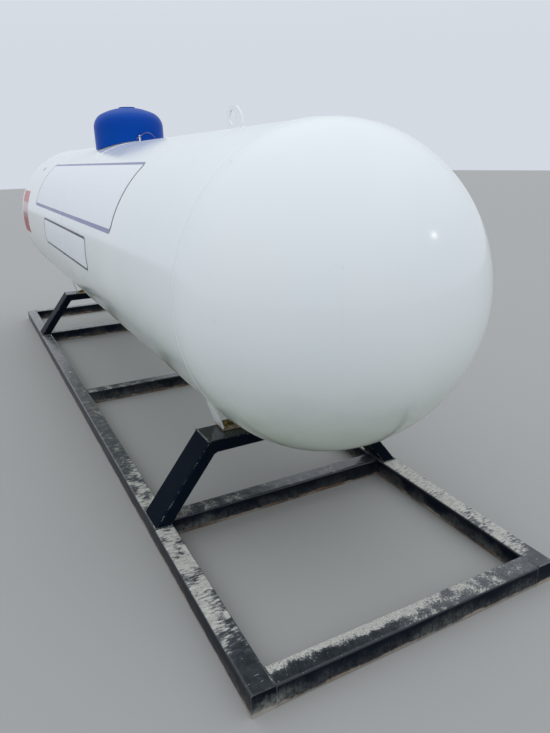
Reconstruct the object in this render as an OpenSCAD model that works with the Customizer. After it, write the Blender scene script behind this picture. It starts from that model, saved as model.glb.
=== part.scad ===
// Horizontal pressure tank on a steel tube skid. Millimetres, Z up, X along the tank.
// The near end is at +X and the left side is at -Y. The floor is z = 0.

/* [Tank] */
// Outside diameter of the shell
tank_od = 1041; // [1000:1:1080]
// Length of the tank over both heads
tank_length = 4880; // [4600:1:4930]
// Depth of each head beyond its girth seam
head_depth = 500; // [492:1:520]
// Straight flange of each head
head_flange = 20; // [10:1:28]
// Radius of the outer arc of a head
head_knuckle_r = 400; // [384:1:420]
// Plate thickness of the shell
shell_wall = 7; // [6:0.5:12]
// Plate thickness of the heads
head_wall = 6; // [5:0.5:10]
// Height of the tank axis above the floor
tank_axis_z = 975; // [965:1:1000]
// Position of the middle girth seam
middle_seam_x = 0; // [-60:1:60]

/* [Skid] */
// Length over the end members
skid_length = 4965; // [4940:1:5200]
// Width over the runners
skid_width = 1132; // [1120:1:1240]
// Outside size of the square tube
tube_size = 76; // [70:1:84]
// Wall of the square tube
tube_wall = 5; // [4:0.5:8]
// Outside corner radius of the tubes
tube_corner_r = 9; // [7:0.5:10]
// Thickness of the plates that close the runners
cap_t = 5; // [4:0.5:10]

/* [Trestles] */
// Distance between the two trestles
trestle_spacing = 3126; // [2950:1:3180]
// Width of the trestle tube along the tank
trestle_w = 146; // [130:1:160]
// Thickness of the trestle tube
trestle_t = 51; // [45:1:60]
// Wall of the trestle tube
trestle_wall = 5; // [4:0.5:7]
// Height of the top of a trestle beam
trestle_top_z = 380; // [360:1:385]
// Width of a trestle over its upper corners
trestle_top_w = 650; // [620:1:720]
// Distance from the runner edge to the foot of a leg
trestle_inset = 5; // [2:1:8]

/* [Tank feet] */
// Length of a foot along the tank
foot_l = 84; // [70:1:100]
// Plate thickness of a foot
foot_t = 7; // [5:0.5:10]
// Distance from the upper corner of a trestle to the outer face of a foot
foot_inset = 87; // [80:1:95]
// Outward lean of a foot from the beam to the tank
foot_lean = 58; // [45:1:70]
// Depth of the base plate of a foot
foot_base_d = 70; // [60:1:90]
// Shift of each foot towards the middle of the tank
foot_shift = 36; // [20:1:42]
// Radius of the bolt hole in the base plate
foot_hole_r = 8; // [6:0.5:10]

/* [Lifting lugs] */
// Distance of each lifting eye from the middle
lug_x = 1256; // [1150:1:1300]
// Plate thickness of a lug
lug_t = 6.5; // [5:0.5:14]
// Height of a lug above the tank and radius of its long round side
lug_h = 86; // [80:1:100]
// Radius of the round corner towards the middle
lug_corner_r = 49; // [36:1:54]
// Radius of the hole
lug_hole_r = 27; // [20:0.5:30]
// Height of the hole above the top of the tank
lug_hole_z = 44; // [38:1:48]
// Distance from the hole to the edge towards the middle
lug_in = 55; // [48:1:66]
// Shift of the long round side away from the hole
lug_shift = 12; // [0:1:20]

/* [Valve dome] */
// Position of the dome along the tank
dome_x = -308; // [-340:1:-280]
// Outside radius of the lid
lid_r = 204; // [198:1:215]
// Wall of the lid
lid_wall = 3; // [2.5:0.5:4]
// Height of the crown of the lid above the tank
lid_crown_h = 199; // [180:1:208]
// Radius of the lid shoulder
lid_shoulder_r = 87; // [64:1:92]
// Depth of the rounded top of the lid
lid_top_depth = 113; // [104:1:118]
// Radius of the raised flat on the lid
lid_flat_r = 47; // [40:1:60]
// Height of the raised flat above the crown
lid_flat_h = 1.5; // [1:0.5:5]
// Gap between the rim of the lid and the tank
lid_gap = 5.5; // [5.5:0.5:12]
// Outside radius of the collar on the tank
collar_r = 191; // [175:1:192]
// Wall of the collar
collar_wall = 5; // [4:0.5:8]
// Height of the collar above the top of the tank
collar_h = 22; // [16:1:26]

/* [Lid hinge] */
// Radius of the hinge pin
pin_r = 4; // [3:0.5:5]
// Radial clearance of the pin in the lid knuckle
pin_clearance = 0.05; // [0.02:0.01:0.1]
// Distance of the pin behind the lid
hinge_back = 16; // [15:0.5:20]
// Height of the pin above the top of the tank
hinge_z = 15; // [14:0.5:18]
// Length of the knuckle on the lid
knuckle_l = 24; // [18:1:30]
// Width of each ear of the bracket
ear_w = 10; // [8:1:14]
// Height of the hinge leaf on the lid
leaf_h = 44; // [36:1:60]
// Radius of the corners of the leaf
leaf_corner_r = 9; // [4:1:12]

/* [Seal hasp] */
// Width of the hasp plate on the lid
hasp_w = 30; // [24:1:50]
// Height of the hasp plate
hasp_h = 14; // [12:1:24]
// Height of the staple above the tank
staple_h = 36; // [32:1:46]
// Width of the staple
staple_w = 7; // [6:1:14]

/* [Valves] */
// Radius of the relief valve body
relief_r = 30; // [24:1:34]
// Height of the relief valve above the tank
relief_h = 96; // [80:1:105]
// Radius of the fill valve cap
fill_r = 24; // [20:1:28]
// Height of the fill valve above the tank
fill_h = 84; // [70:1:95]
// Radius of the service valve handwheel
wheel_r = 26; // [20:1:28]
// Height of the service valve above the tank
service_h = 92; // [80:1:98]
// Radius of the vapour valve cap
vapour_r = 19; // [15:1:22]
// Height of the vapour valve above the tank
vapour_h = 66; // [55:1:80]
// Radius of the level gauge head
gauge_r = 27; // [22:1:30]
// Height of the level gauge above the tank
gauge_h = 24; // [18:1:34]
// Number of finger grooves round a valve cap
cap_grooves = 10; // [6:1:12]
// Radius of a finger groove
cap_groove_r = 3; // [2:0.5:4]
// Number of scallops round the handwheel
wheel_scallops = 7; // [5:1:9]
// Radius of a scallop
wheel_scallop_r = 7; // [5:0.5:8]

/* [Hidden] */
$fn = 96;
seat = 0.3;
tank_r = tank_od / 2;
shell_half = tank_length / 2 - head_depth;
top_z = tank_axis_z + tank_r;
lean_dy = skid_width / 2 - trestle_inset - trestle_top_w / 2;
lean_dz = trestle_top_z - tube_size;
lean = atan2(lean_dz, lean_dy);
foot_x = trestle_spacing / 2 - foot_shift;
foot_base_y = trestle_top_w / 2 - foot_inset;
foot_top_y = foot_base_y + foot_lean;
lid_z0 = top_z + lid_crown_h - lid_top_depth;
pin_x = dome_x - lid_r - hinge_back;
pin_z = top_z + hinge_z;
ear_gap = 1;
ear_r = pin_r + 4;
relief_x = dome_x + 78;
gauge_x = dome_x + 2;
side_x = dome_x - 12;
side_y = 92;
vapour_x = dome_x - 96;
side_z = tank_axis_z + sqrt(tank_r * tank_r - side_y * side_y);
relief_coupling_r = 24;
side_coupling_r = 18;
gauge_coupling_r = 16;
coupling_sink = 26;

painted = [0.90, 0.92, 0.94];
skid_paint = [0.10, 0.12, 0.15];
lid_blue = [0.02, 0.22, 0.62];
brass = [0.72, 0.56, 0.30];
steel = [0.62, 0.63, 0.65];

// Rounded rectangle centred on the origin.
module round_rect(w, h, r) {
  square([w - 2 * r, h], center = true);
  square([w, h - 2 * r], center = true);
  for (sx = [-1, 1])
    for (sy = [-1, 1])
      translate([sx * (w / 2 - r), sy * (h / 2 - r)])
        circle(r = r);
}

// Section of a rectangular tube.
module tube_section(w, h, wall, r) {
  difference() {
    round_rect(w, h, r);
    round_rect(w - 2 * wall, h - 2 * wall, r - wall > 1 ? r - wall : 1);
  }
}

// Extrudes a section along X from x0 to x1. Section x becomes Y and section y becomes Z.
module along_x(x0, x1) {
  translate([x0, 0, 0])
    rotate([90, 0, 90])
      linear_extrude(x1 - x0)
        children();
}

// Extrudes a section along Y from y0 to y1. Section x becomes X and section y becomes Z.
module along_y(y0, y1) {
  translate([0, y1, 0])
    rotate([90, 0, 0])
      linear_extrude(y1 - y0)
        children();
}

// Solid cylinder on the tank axis.
module axis_cylinder(r, x0, x1) {
  translate([x0, 0, tank_axis_z])
    rotate([0, 90, 0])
      cylinder(r = r, h = x1 - x0, $fn = 360);
}

// Half section of a two arc dome: knuckle arc outside, flatter crown arc in the middle.
// The base is y = 0 and the crown is y = depth. inset moves the whole outline inwards.
module dome_half(r, depth, knuckle, inset, skirt) {
  off = r - knuckle;
  crown = (depth * depth - knuckle * knuckle + off * off) / (2 * (depth - knuckle));
  cy = depth - crown;
  reach = 2 * crown / (crown - knuckle);
  union() {
    translate([0, -skirt])
      square([r - inset, skirt]);
    intersection() {
      translate([off, 0])
        circle(r = knuckle - inset);
      translate([off, 0])
        square([knuckle, knuckle]);
    }
    intersection() {
      translate([0, cy])
        circle(r = crown - inset);
      polygon([[0, 0], [off, 0], [off * (1 + reach), -cy * reach], [0, 2 * crown]]);
    }
  }
}

// One head as a solid of revolution about X, opening towards the middle.
module head_solid(inset, flange) {
  translate([shell_half + head_flange, 0, tank_axis_z])
    rotate([0, 90, 0])
      rotate_extrude()
        dome_half(tank_r, head_depth - head_flange, head_knuckle_r, inset, flange);
}

module head() {
  color(painted)
    difference() {
      head_solid(0, head_flange);
      head_solid(head_wall, head_flange + 1);
    }
}

module coupling_holes() {
  translate([relief_x, 0, tank_axis_z])
    cylinder(r = relief_coupling_r + seat, h = tank_r + 20);
  translate([gauge_x, 0, tank_axis_z])
    cylinder(r = gauge_coupling_r + seat, h = tank_r + 20);
  translate([vapour_x, 0, tank_axis_z])
    cylinder(r = side_coupling_r + seat, h = tank_r + 20);
  for (s = [-1, 1])
    translate([side_x, s * side_y, tank_axis_z])
      cylinder(r = side_coupling_r + seat, h = tank_r + 20);
}

module shell_course_near() {
  color(painted)
    difference() {
      axis_cylinder(tank_r, middle_seam_x, shell_half);
      axis_cylinder(tank_r - shell_wall, middle_seam_x - 1, shell_half + 1);
    }
}

module shell_course_far() {
  color(painted)
    difference() {
      axis_cylinder(tank_r, -shell_half, middle_seam_x);
      axis_cylinder(tank_r - shell_wall, -shell_half - 1, middle_seam_x + 1);
      coupling_holes();
    }
}

module head_near() {
  head();
}

module head_far() {
  mirror([1, 0, 0])
    head();
}

// A bent plate foot at the near left corner, cut to the belly of the tank.
module tank_foot() {
  base_z = trestle_top_z;
  top_y = foot_top_y;
  top = tank_axis_z - sqrt(tank_r * tank_r - top_y * top_y) + 20;
  run = (top_y - foot_base_y) / (top - base_z);
  color(painted)
    difference() {
      union() {
        along_x(foot_x - foot_l / 2, foot_x + foot_l / 2)
          polygon([[-foot_base_y, base_z], [-top_y, top], [-top_y + foot_t, top],
            [-foot_base_y + foot_t, base_z]]);
        along_x(foot_x - foot_l / 2, foot_x + foot_l / 2)
          polygon([[-foot_base_y, base_z], [-foot_base_y + foot_base_d, base_z],
            [-foot_base_y + foot_base_d, base_z + foot_t], [-foot_base_y - run * foot_t, base_z + foot_t]]);
      }
      axis_cylinder(tank_r + seat, 0, shell_half);
      translate([foot_x, -foot_base_y + foot_base_d * 0.55, base_z - 1])
        cylinder(r = foot_hole_r, h = foot_t + 2);
    }
}

module tank_foot_near_left() {
  tank_foot();
}

module tank_foot_near_right() {
  mirror([0, 1, 0])
    tank_foot();
}

module tank_foot_far_left() {
  mirror([1, 0, 0])
    tank_foot();
}

module tank_foot_far_right() {
  mirror([1, 0, 0])
    mirror([0, 1, 0])
      tank_foot();
}

// A lifting plate on the top line with a hole, rounder towards the end of the tank.
module lifting_lug() {
  edge_x = lug_x - lug_in;
  round_x = lug_x + lug_shift;
  color(painted)
    difference() {
      along_y(-lug_t / 2, lug_t / 2)
        union() {
          translate([edge_x, top_z - 5])
            square([round_x - edge_x, lug_h - lug_corner_r + 5]);
          translate([edge_x + lug_corner_r, top_z])
            square([round_x - edge_x - lug_corner_r, lug_h]);
          translate([edge_x + lug_corner_r, top_z + lug_h - lug_corner_r])
            circle(r = lug_corner_r);
          intersection() {
            translate([round_x, top_z])
              circle(r = lug_h, $fn = 360);
            translate([round_x, top_z - 5])
              square([lug_h, lug_h + 5]);
          }
        }
      translate([lug_x, 0, top_z + lug_hole_z])
        rotate([90, 0, 0])
          cylinder(r = lug_hole_r, h = lug_t + 4, center = true);
      axis_cylinder(tank_r + seat, 0, shell_half);
    }
}

module lifting_lug_near() {
  lifting_lug();
}

module lifting_lug_far() {
  mirror([1, 0, 0])
    lifting_lug();
}

module dome_collar() {
  color(painted)
    difference() {
      translate([dome_x, 0, tank_axis_z])
        cylinder(r = collar_r, h = tank_r + collar_h);
      translate([dome_x, 0, tank_axis_z - 1])
        cylinder(r = collar_r - collar_wall, h = tank_r + collar_h + 2);
      axis_cylinder(tank_r + seat, dome_x - lid_r - 10, dome_x + lid_r + 10);
    }
}

module dome_lid() {
  skirt = lid_z0 - tank_axis_z;
  color(lid_blue)
    difference() {
      translate([dome_x, 0, lid_z0])
        union() {
          rotate_extrude()
            dome_half(lid_r, lid_top_depth, lid_shoulder_r, 0, skirt);
          translate([0, 0, lid_top_depth - 14])
            cylinder(r = lid_flat_r, h = 14 + lid_flat_h);
        }
      translate([dome_x, 0, lid_z0])
        union() {
          rotate_extrude()
            dome_half(lid_r, lid_top_depth, lid_shoulder_r, lid_wall, skirt + 1);
          translate([0, 0, lid_top_depth - 20])
            cylinder(r = lid_flat_r - lid_wall, h = 20 + lid_flat_h - lid_wall);
        }
      axis_cylinder(tank_r + lid_gap, dome_x - lid_r - 10, dome_x + lid_r + 10);
    }
}

module hinge_axis_cylinder(r, y0, y1) {
  translate([pin_x, y1, pin_z])
    rotate([90, 0, 0])
      cylinder(r = r, h = y1 - y0);
}

module lid_hinge_leaf() {
  color(steel)
    difference() {
      union() {
        hinge_axis_cylinder(ear_r - 1, -knuckle_l / 2, knuckle_l / 2);
        translate([pin_x, -knuckle_l / 2, pin_z])
          cube([hinge_back + 3, knuckle_l, ear_r - 1]);
        translate([pin_x + hinge_back - 4, 0, pin_z + 2 + leaf_h / 2])
          rotate([0, 90, 0])
            linear_extrude(10)
              round_rect(leaf_h, 2 * knuckle_l, leaf_corner_r);
      }
      hinge_axis_cylinder(pin_r + pin_clearance, -knuckle_l, knuckle_l);
      translate([dome_x, 0, pin_z - 20])
        cylinder(r = lid_r + seat, h = 100, $fn = 360);
    }
}

module hinge_bracket() {
  color(painted)
    difference() {
      union() {
        for (s = [-1, 1])
          translate([0, s * (knuckle_l / 2 + ear_gap + ear_w / 2), 0]) {
            hinge_axis_cylinder(ear_r, -ear_w / 2, ear_w / 2);
            translate([pin_x - ear_r, -ear_w / 2, top_z - 6])
              cube([2 * ear_r, ear_w, hinge_z + 6]);
          }
        translate([pin_x - 18, -knuckle_l / 2 - ear_gap - ear_w, top_z - 6])
          cube([18 + ear_r, knuckle_l + 2 * ear_gap + 2 * ear_w, 9]);
      }
      hinge_axis_cylinder(pin_r, -100, 100);
      axis_cylinder(tank_r + seat, pin_x - 40, pin_x + 40);
    }
}

module hinge_pin() {
  color(steel)
    hinge_axis_cylinder(pin_r, -knuckle_l / 2 - ear_gap - ear_w - 3, knuckle_l / 2 + ear_gap + ear_w + 3);
}

module lid_hasp() {
  color(lid_blue)
    difference() {
      translate([dome_x + lid_r - 12, -hasp_w / 2, top_z + lid_gap + 6])
        cube([17, hasp_w, hasp_h]);
      translate([dome_x, 0, top_z - 20])
        cylinder(r = lid_r + seat, h = 100, $fn = 360);
      translate([dome_x + lid_r - 20, hasp_w / 4, top_z + lid_gap + 6 + hasp_h / 2])
        rotate([0, 90, 0])
          cylinder(r = 4, h = 40);
    }
}

module seal_staple() {
  color(painted)
    difference() {
      translate([dome_x + lid_r + 11, -staple_w / 2, top_z - 4])
        cube([7, staple_w, staple_h + 4]);
      axis_cylinder(tank_r + seat, dome_x, dome_x + lid_r + 60);
      translate([dome_x + lid_r, 0, top_z + staple_h - 8])
        rotate([0, 90, 0])
          cylinder(r = 3, h = 40);
    }
}

// Steel coupling that passes through the shell, with a chamfered mouth.
module coupling(r, h) {
  translate([0, 0, -coupling_sink])
    rotate_extrude()
      polygon([[0, 0], [r, 0], [r, coupling_sink + h - 2], [r - 2, coupling_sink + h],
        [0, coupling_sink + h]]);
}

// Hexagon for a wrench. A turned chamfer takes off its corners at both ends.
module wrench_hexagon(r, h) {
  chamfer = 0.06 * r;
  intersection() {
    cylinder(r = r, h = h, $fn = 6);
    rotate_extrude()
      polygon([[0, 0], [r - 2 * chamfer, 0], [r, chamfer], [r, h - chamfer], [r - 2 * chamfer, h], [0, h]]);
  }
}

// Screwed cap with finger grooves, a chamfered crown and a groove above its foot.
module grip_cap(r, h) {
  difference() {
    rotate_extrude()
      polygon([[0, 0], [r, 0], [r, 3], [r - 1.5, 4.5], [r, 6], [r, h - 3], [r - 3, h], [0, h]]);
    for (i = [0:cap_grooves - 1])
      rotate([0, 0, i * 360 / cap_grooves])
        translate([r + 0.5 * cap_groove_r, 0, 6])
          cylinder(r = cap_groove_r, h = h);
  }
}

// Pressure relief valve. The spring housing widens above its neck and carries a rain cap.
module relief_valve() {
  neck_r = relief_r - 10;
  housing_r = relief_r - 4;
  housing_top = relief_h - 14;
  color(brass)
    translate([relief_x, 0, top_z]) {
      coupling(relief_coupling_r, 14);
      translate([0, 0, 14])
        wrench_hexagon(relief_r + 3, 12);
      rotate_extrude()
        polygon([[0, 20], [neck_r, 20], [neck_r, 32], [housing_r, 40], [housing_r, housing_top - 4],
          [housing_r - 4, housing_top], [housing_r - 4, relief_h - 7], [0, relief_h - 7]]);
      rotate_extrude()
        polygon([[0, relief_h - 8], [relief_r - 1, relief_h - 9], [relief_r, relief_h - 8],
          [relief_r, relief_h - 4], [relief_r - 8, relief_h], [0, relief_h]]);
    }
}

// Filling connection. A hexagon and a waisted neck lead to a large screwed cap.
module fill_valve() {
  neck_r = fill_r - 6;
  cap_h = 26;
  color(brass)
    translate([side_x, -side_y, side_z]) {
      coupling(side_coupling_r, 14);
      translate([0, 0, 14])
        wrench_hexagon(fill_r + 1, 14);
      rotate_extrude()
        polygon([[0, 20], [neck_r, 20], [neck_r, 32], [neck_r - 4, 36], [neck_r - 4, fill_h - cap_h - 8],
          [neck_r + 2, fill_h - cap_h - 4], [neck_r + 2, fill_h - 10], [0, fill_h - 10]]);
      translate([0, 0, fill_h - cap_h])
        grip_cap(fill_r, cap_h);
    }
}

// Scalloped handwheel with a dished face and a raised hub.
module handwheel(r, h) {
  difference() {
    rotate_extrude()
      polygon([[0, 0], [8, 0], [r - 8, 3], [r - 2, 3], [r, 5], [r, h - 2], [r - 2, h], [r - 6, h],
        [r - 9, h - 4], [9, h - 4], [8, h], [0, h]]);
    for (i = [0:wheel_scallops - 1])
      rotate([0, 0, i * 360 / wheel_scallops])
        translate([r + 0.55 * wheel_scallop_r, 0, -1])
          cylinder(r = wheel_scallop_r, h = h + 2);
  }
}

// Vapour service valve with a hexagon side outlet, a bonnet, a gland nut and a handwheel.
module service_valve() {
  outlet_z = 32;
  wheel_h = 12;
  color(brass)
    translate([side_x, side_y, side_z])
      difference() {
        union() {
          coupling(side_coupling_r, 10);
          rotate_extrude()
            polygon([[0, 8], [14, 8], [17, 18], [17, 44], [12, 48], [12, 50], [0, 50]]);
          translate([0, 0, outlet_z])
            rotate([0, 90, 0]) {
              cylinder(r = 10, h = 36);
              translate([0, 0, 30])
                wrench_hexagon(13, 14);
            }
          translate([0, 0, 47])
            wrench_hexagon(15, 10);
          translate([0, 0, 57])
            wrench_hexagon(10, 8);
          translate([0, 0, 60])
            cylinder(r = 5, h = service_h - wheel_h - 58);
          translate([0, 0, service_h - wheel_h])
            handwheel(wheel_r, wheel_h);
        }
        translate([20, 0, outlet_z])
          rotate([0, 90, 0])
            cylinder(r = 6, h = 30);
      }
}

// Vapour return valve with a screwed cap.
module vapour_valve() {
  cap_h = 24;
  color(brass)
    translate([vapour_x, 0, top_z]) {
      coupling(side_coupling_r, 12);
      translate([0, 0, 12])
        wrench_hexagon(vapour_r + 1, 12);
      rotate_extrude()
        polygon([[0, 20], [vapour_r - 3, 20], [vapour_r - 3, 30], [vapour_r - 6, 33],
          [vapour_r - 6, vapour_h - 6], [0, vapour_h - 6]]);
      translate([0, 0, vapour_h - cap_h])
        grip_cap(vapour_r, cap_h);
    }
}

// Float gauge. Four screws hold the dial head to its flange, and a needle turns in the dial.
module level_gauge() {
  flange_h = 8;
  dial_r = gauge_r - 9;
  color(steel)
    translate([gauge_x, 0, top_z]) {
      coupling(gauge_coupling_r, 8);
      translate([0, 0, 8])
        rotate_extrude()
          polygon([[0, 0], [gauge_r, 0], [gauge_r, flange_h - 1], [gauge_r - 1, flange_h],
            [dial_r, flange_h], [dial_r, gauge_h - 10], [dial_r - 2, gauge_h - 8],
            [dial_r - 4, gauge_h - 8], [dial_r - 4, gauge_h - 11], [0, gauge_h - 11]]);
      for (a = [45:90:315])
        rotate([0, 0, a])
          translate([gauge_r - 4.5, 0, 6 + flange_h])
            wrench_hexagon(3.6, 5);
      translate([0, 0, gauge_h - 6])
        cylinder(r = 2.5, h = 4);
      translate([-1, -1, gauge_h - 4])
        cube([dial_r - 5, 2, 2]);
    }
}

module runner(s) {
  color(skid_paint)
    along_x(-skid_length / 2 + cap_t, skid_length / 2 - cap_t)
      translate([s * (skid_width - tube_size) / 2, tube_size / 2])
        tube_section(tube_size, tube_size, tube_wall, tube_corner_r);
}

module runner_left() {
  runner(-1);
}

module runner_right() {
  runner(1);
}

module runner_cap(sx, sy) {
  color(skid_paint)
    along_x(sx > 0 ? skid_length / 2 - cap_t : -skid_length / 2, sx > 0 ? skid_length / 2 : -skid_length / 2 + cap_t)
      translate([sy * (skid_width - tube_size) / 2, tube_size / 2])
        round_rect(tube_size, tube_size, tube_corner_r);
}

module runner_cap_near_left() {
  runner_cap(1, -1);
}

module runner_cap_near_right() {
  runner_cap(1, 1);
}

module runner_cap_far_left() {
  runner_cap(-1, -1);
}

module runner_cap_far_right() {
  runner_cap(-1, 1);
}

// A tube across the skid, between the inner faces of the runners.
module cross_tube(x) {
  color(skid_paint)
    along_y(-skid_width / 2 + tube_size, skid_width / 2 - tube_size)
      translate([x, tube_size / 2])
        tube_section(tube_size, tube_size, tube_wall, tube_corner_r);
}

module end_member_near() {
  cross_tube(skid_length / 2 - tube_size / 2);
}

module end_member_far() {
  cross_tube(-skid_length / 2 + tube_size / 2);
}

module cross_member_near() {
  cross_tube(trestle_spacing / 2);
}

module cross_member_middle() {
  cross_tube(0);
}

module cross_member_far() {
  cross_tube(-trestle_spacing / 2);
}

// Upper corner points of a trestle: inner end of the mitre.
inner_s = (trestle_top_z - trestle_t - tube_size + trestle_t * cos(lean)) / sin(lean);
foot_out_y = skid_width / 2 - trestle_inset;
mitre_in_y = foot_out_y - trestle_t * sin(lean) - inner_s * cos(lean);
mitre_dy = trestle_top_w / 2 - mitre_in_y;
foot_in_y = foot_out_y - trestle_t / sin(lean);
// The cutting prisms reach past the tubes, along the mitre line.
cut_hi = [trestle_top_w / 2 + mitre_dy, trestle_top_z + trestle_t];
cut_lo = [mitre_in_y - mitre_dy, trestle_top_z - 2 * trestle_t];

module trestle_beam(x) {
  color(skid_paint)
    intersection() {
      along_y(-trestle_top_w / 2 - 20, trestle_top_w / 2 + 20)
        translate([x, trestle_top_z - trestle_t / 2])
          tube_section(trestle_w, trestle_t, trestle_wall, tube_corner_r);
      along_x(x - trestle_w, x + trestle_w)
        polygon([[-cut_hi[0], cut_hi[1]], [cut_hi[0], cut_hi[1]], [cut_lo[0], cut_lo[1]], [-cut_lo[0], cut_lo[1]]]);
    }
}

// Inclined leg at the right, cut level on the runner and mitred to the beam.
module trestle_leg(x) {
  color(skid_paint)
    intersection() {
      translate([x, foot_out_y, tube_size])
        rotate([90 - lean, 0, 0])
          linear_extrude(800, center = true)
            translate([0, -trestle_t / 2])
              tube_section(trestle_w, trestle_t, trestle_wall, tube_corner_r);
      along_x(x - trestle_w, x + trestle_w)
        polygon([[foot_out_y + 40, tube_size], cut_hi, cut_lo, [foot_in_y - 40, tube_size]]);
    }
}

module trestle_beam_near() {
  trestle_beam(trestle_spacing / 2);
}

module trestle_beam_far() {
  trestle_beam(-trestle_spacing / 2);
}

module trestle_leg_near_right() {
  trestle_leg(trestle_spacing / 2);
}

module trestle_leg_near_left() {
  mirror([0, 1, 0])
    trestle_leg(trestle_spacing / 2);
}

module trestle_leg_far_right() {
  trestle_leg(-trestle_spacing / 2);
}

module trestle_leg_far_left() {
  mirror([0, 1, 0])
    trestle_leg(-trestle_spacing / 2);
}

shell_course_near();
shell_course_far();
head_near();
head_far();
tank_foot_near_left();
tank_foot_near_right();
tank_foot_far_left();
tank_foot_far_right();
lifting_lug_near();
lifting_lug_far();
dome_collar();
dome_lid();
lid_hinge_leaf();
hinge_bracket();
hinge_pin();
lid_hasp();
seal_staple();
relief_valve();
fill_valve();
service_valve();
vapour_valve();
level_gauge();
runner_left();
runner_right();
end_member_near();
end_member_far();
cross_member_near();
cross_member_middle();
cross_member_far();
runner_cap_near_left();
runner_cap_near_right();
runner_cap_far_left();
runner_cap_far_right();
trestle_beam_near();
trestle_beam_far();
trestle_leg_near_left();
trestle_leg_near_right();
trestle_leg_far_left();
trestle_leg_far_right();
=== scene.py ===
# %% [markdown]
# # A horizontal pressure tank on its skid
# This lesson dresses a steel tank that was drawn as exact solids: two shell courses, two domed
# heads, a hinged cover over the valves, and a tube skid with two trestles. The solids keep their
# place and size. What is added here is what a drawing leaves out: paint, welds, bolts, films,
# dust and rust. Every length is in metres, X runs along the tank and Z is up.

# %% Load the frame
import math
import random
import bpy
from mathutils import Matrix, Vector


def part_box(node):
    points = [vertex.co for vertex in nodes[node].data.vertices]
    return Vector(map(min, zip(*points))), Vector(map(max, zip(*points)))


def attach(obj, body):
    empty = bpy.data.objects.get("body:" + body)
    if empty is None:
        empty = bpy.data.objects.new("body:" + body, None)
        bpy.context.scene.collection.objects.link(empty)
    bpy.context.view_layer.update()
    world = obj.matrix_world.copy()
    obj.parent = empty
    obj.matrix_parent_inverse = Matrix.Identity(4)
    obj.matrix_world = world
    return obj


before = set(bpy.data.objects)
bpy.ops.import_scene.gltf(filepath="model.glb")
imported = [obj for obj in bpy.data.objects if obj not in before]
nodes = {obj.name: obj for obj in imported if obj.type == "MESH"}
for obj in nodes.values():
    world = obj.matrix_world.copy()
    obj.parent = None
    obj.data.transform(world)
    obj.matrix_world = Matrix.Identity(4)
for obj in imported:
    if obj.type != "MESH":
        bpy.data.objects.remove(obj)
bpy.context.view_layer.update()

# %% [markdown]
# ## The camera
# The photograph was taken standing at the near end of the tank, a little to its left, looking
# down along it. The place and direction of the lens were found by matching the edges of the skid
# and the outline of the tank, so they are written here as measured numbers: where the lens is,
# which way its right side points and which way it looks. Blender looks along minus Z, so the
# third column of the matrix is the viewing direction turned round.

# %% Place the camera
LENS_AT = Vector((3.5809, -1.0278, 1.3802))
TO_THE_RIGHT = Vector((0.460918, 0.887052, -0.026344))
TO_THE_FLOOR = Vector((0.277141, -0.172078, -0.945295))
FORWARD = Vector((-0.843059, 0.428402, -0.325152))
FOCAL_PIXELS = 603.13
IMAGE_HEIGHT = 733


def in_scene(name, data):
    """A new object in the scene."""
    made = bpy.data.objects.new(name, data)
    bpy.context.scene.collection.objects.link(made)
    return made


camera_data = bpy.data.cameras.new("camera")
camera_data.sensor_fit = "VERTICAL"
camera_data.sensor_height = 24.0
camera_data.lens = FOCAL_PIXELS / IMAGE_HEIGHT * camera_data.sensor_height
camera_data.clip_end = 200.0
camera = in_scene("camera", camera_data)
turn = Matrix((TO_THE_RIGHT, -TO_THE_FLOOR, -FORWARD)).transposed().to_4x4()
camera.matrix_world = Matrix.Translation(LENS_AT) @ turn
bpy.context.scene.camera = camera
print("lens", round(camera_data.lens, 2), "mm")

# %% [markdown]
# ## Sizes that the pieces share
# The drawing's own numbers come back here where a weld or a film has to follow a surface. They
# are read from the boxes of the loaded nodes, so they stay true if the drawing changes.

# %% Read the main sizes
UP = Vector((0, 0, 1))
shell_low, shell_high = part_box("shell_course_near")
TANK_R = (shell_high.z - shell_low.z) / 2
AXIS_Z = (shell_high.z + shell_low.z) / 2
SHELL_HALF = shell_high.x
lid_low, lid_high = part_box("dome_lid")
DOME_X = (lid_low.x + lid_high.x) / 2
LID_R = (lid_high.x - lid_low.x) / 2
runner_low, runner_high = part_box("runner_left")
TUBE = runner_high.z
INNER_Y = -runner_low.y - TUBE
beam_low, beam_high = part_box("trestle_beam_near")
TRESTLE_X = (beam_low.x + beam_high.x) / 2
TRESTLE_W = beam_high.x - beam_low.x
BEAM_TOP = beam_high.z
QUARTERS = [(f"{end}_{side}", x_sign, y_sign) for end, x_sign in (("near", 1), ("far", -1))
            for side, y_sign in (("left", 1), ("right", -1))]
CORNERS = [name for name, x_sign, y_sign in QUARTERS]
print("tank radius", round(TANK_R, 4), "axis", round(AXIS_Z, 4), "trestle", round(TRESTLE_X, 4))

# %% [markdown]
# ## Wiring a shader in few words
# Paint is built from nodes, and most of the work is to join them. `Wires` holds one node tree
# and short ways to add to it: sums, products, smooth ramps, noises and blends. Every value may be
# a number or a socket of another node. A `Group` is such a tree with named sockets: dust, streaks
# or the skin of sprayed paint turn up in several finishes, so each is made once. A `Finish` is a
# material. Its Principled shader stays in the material itself, and the groups feed its sockets.

# %% Helpers: wires, groups and finishes
MIX_SOCKETS = {"FLOAT": (2, 3, 0), "VECTOR": (4, 5, 1), "RGBA": (6, 7, 2)}


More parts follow.
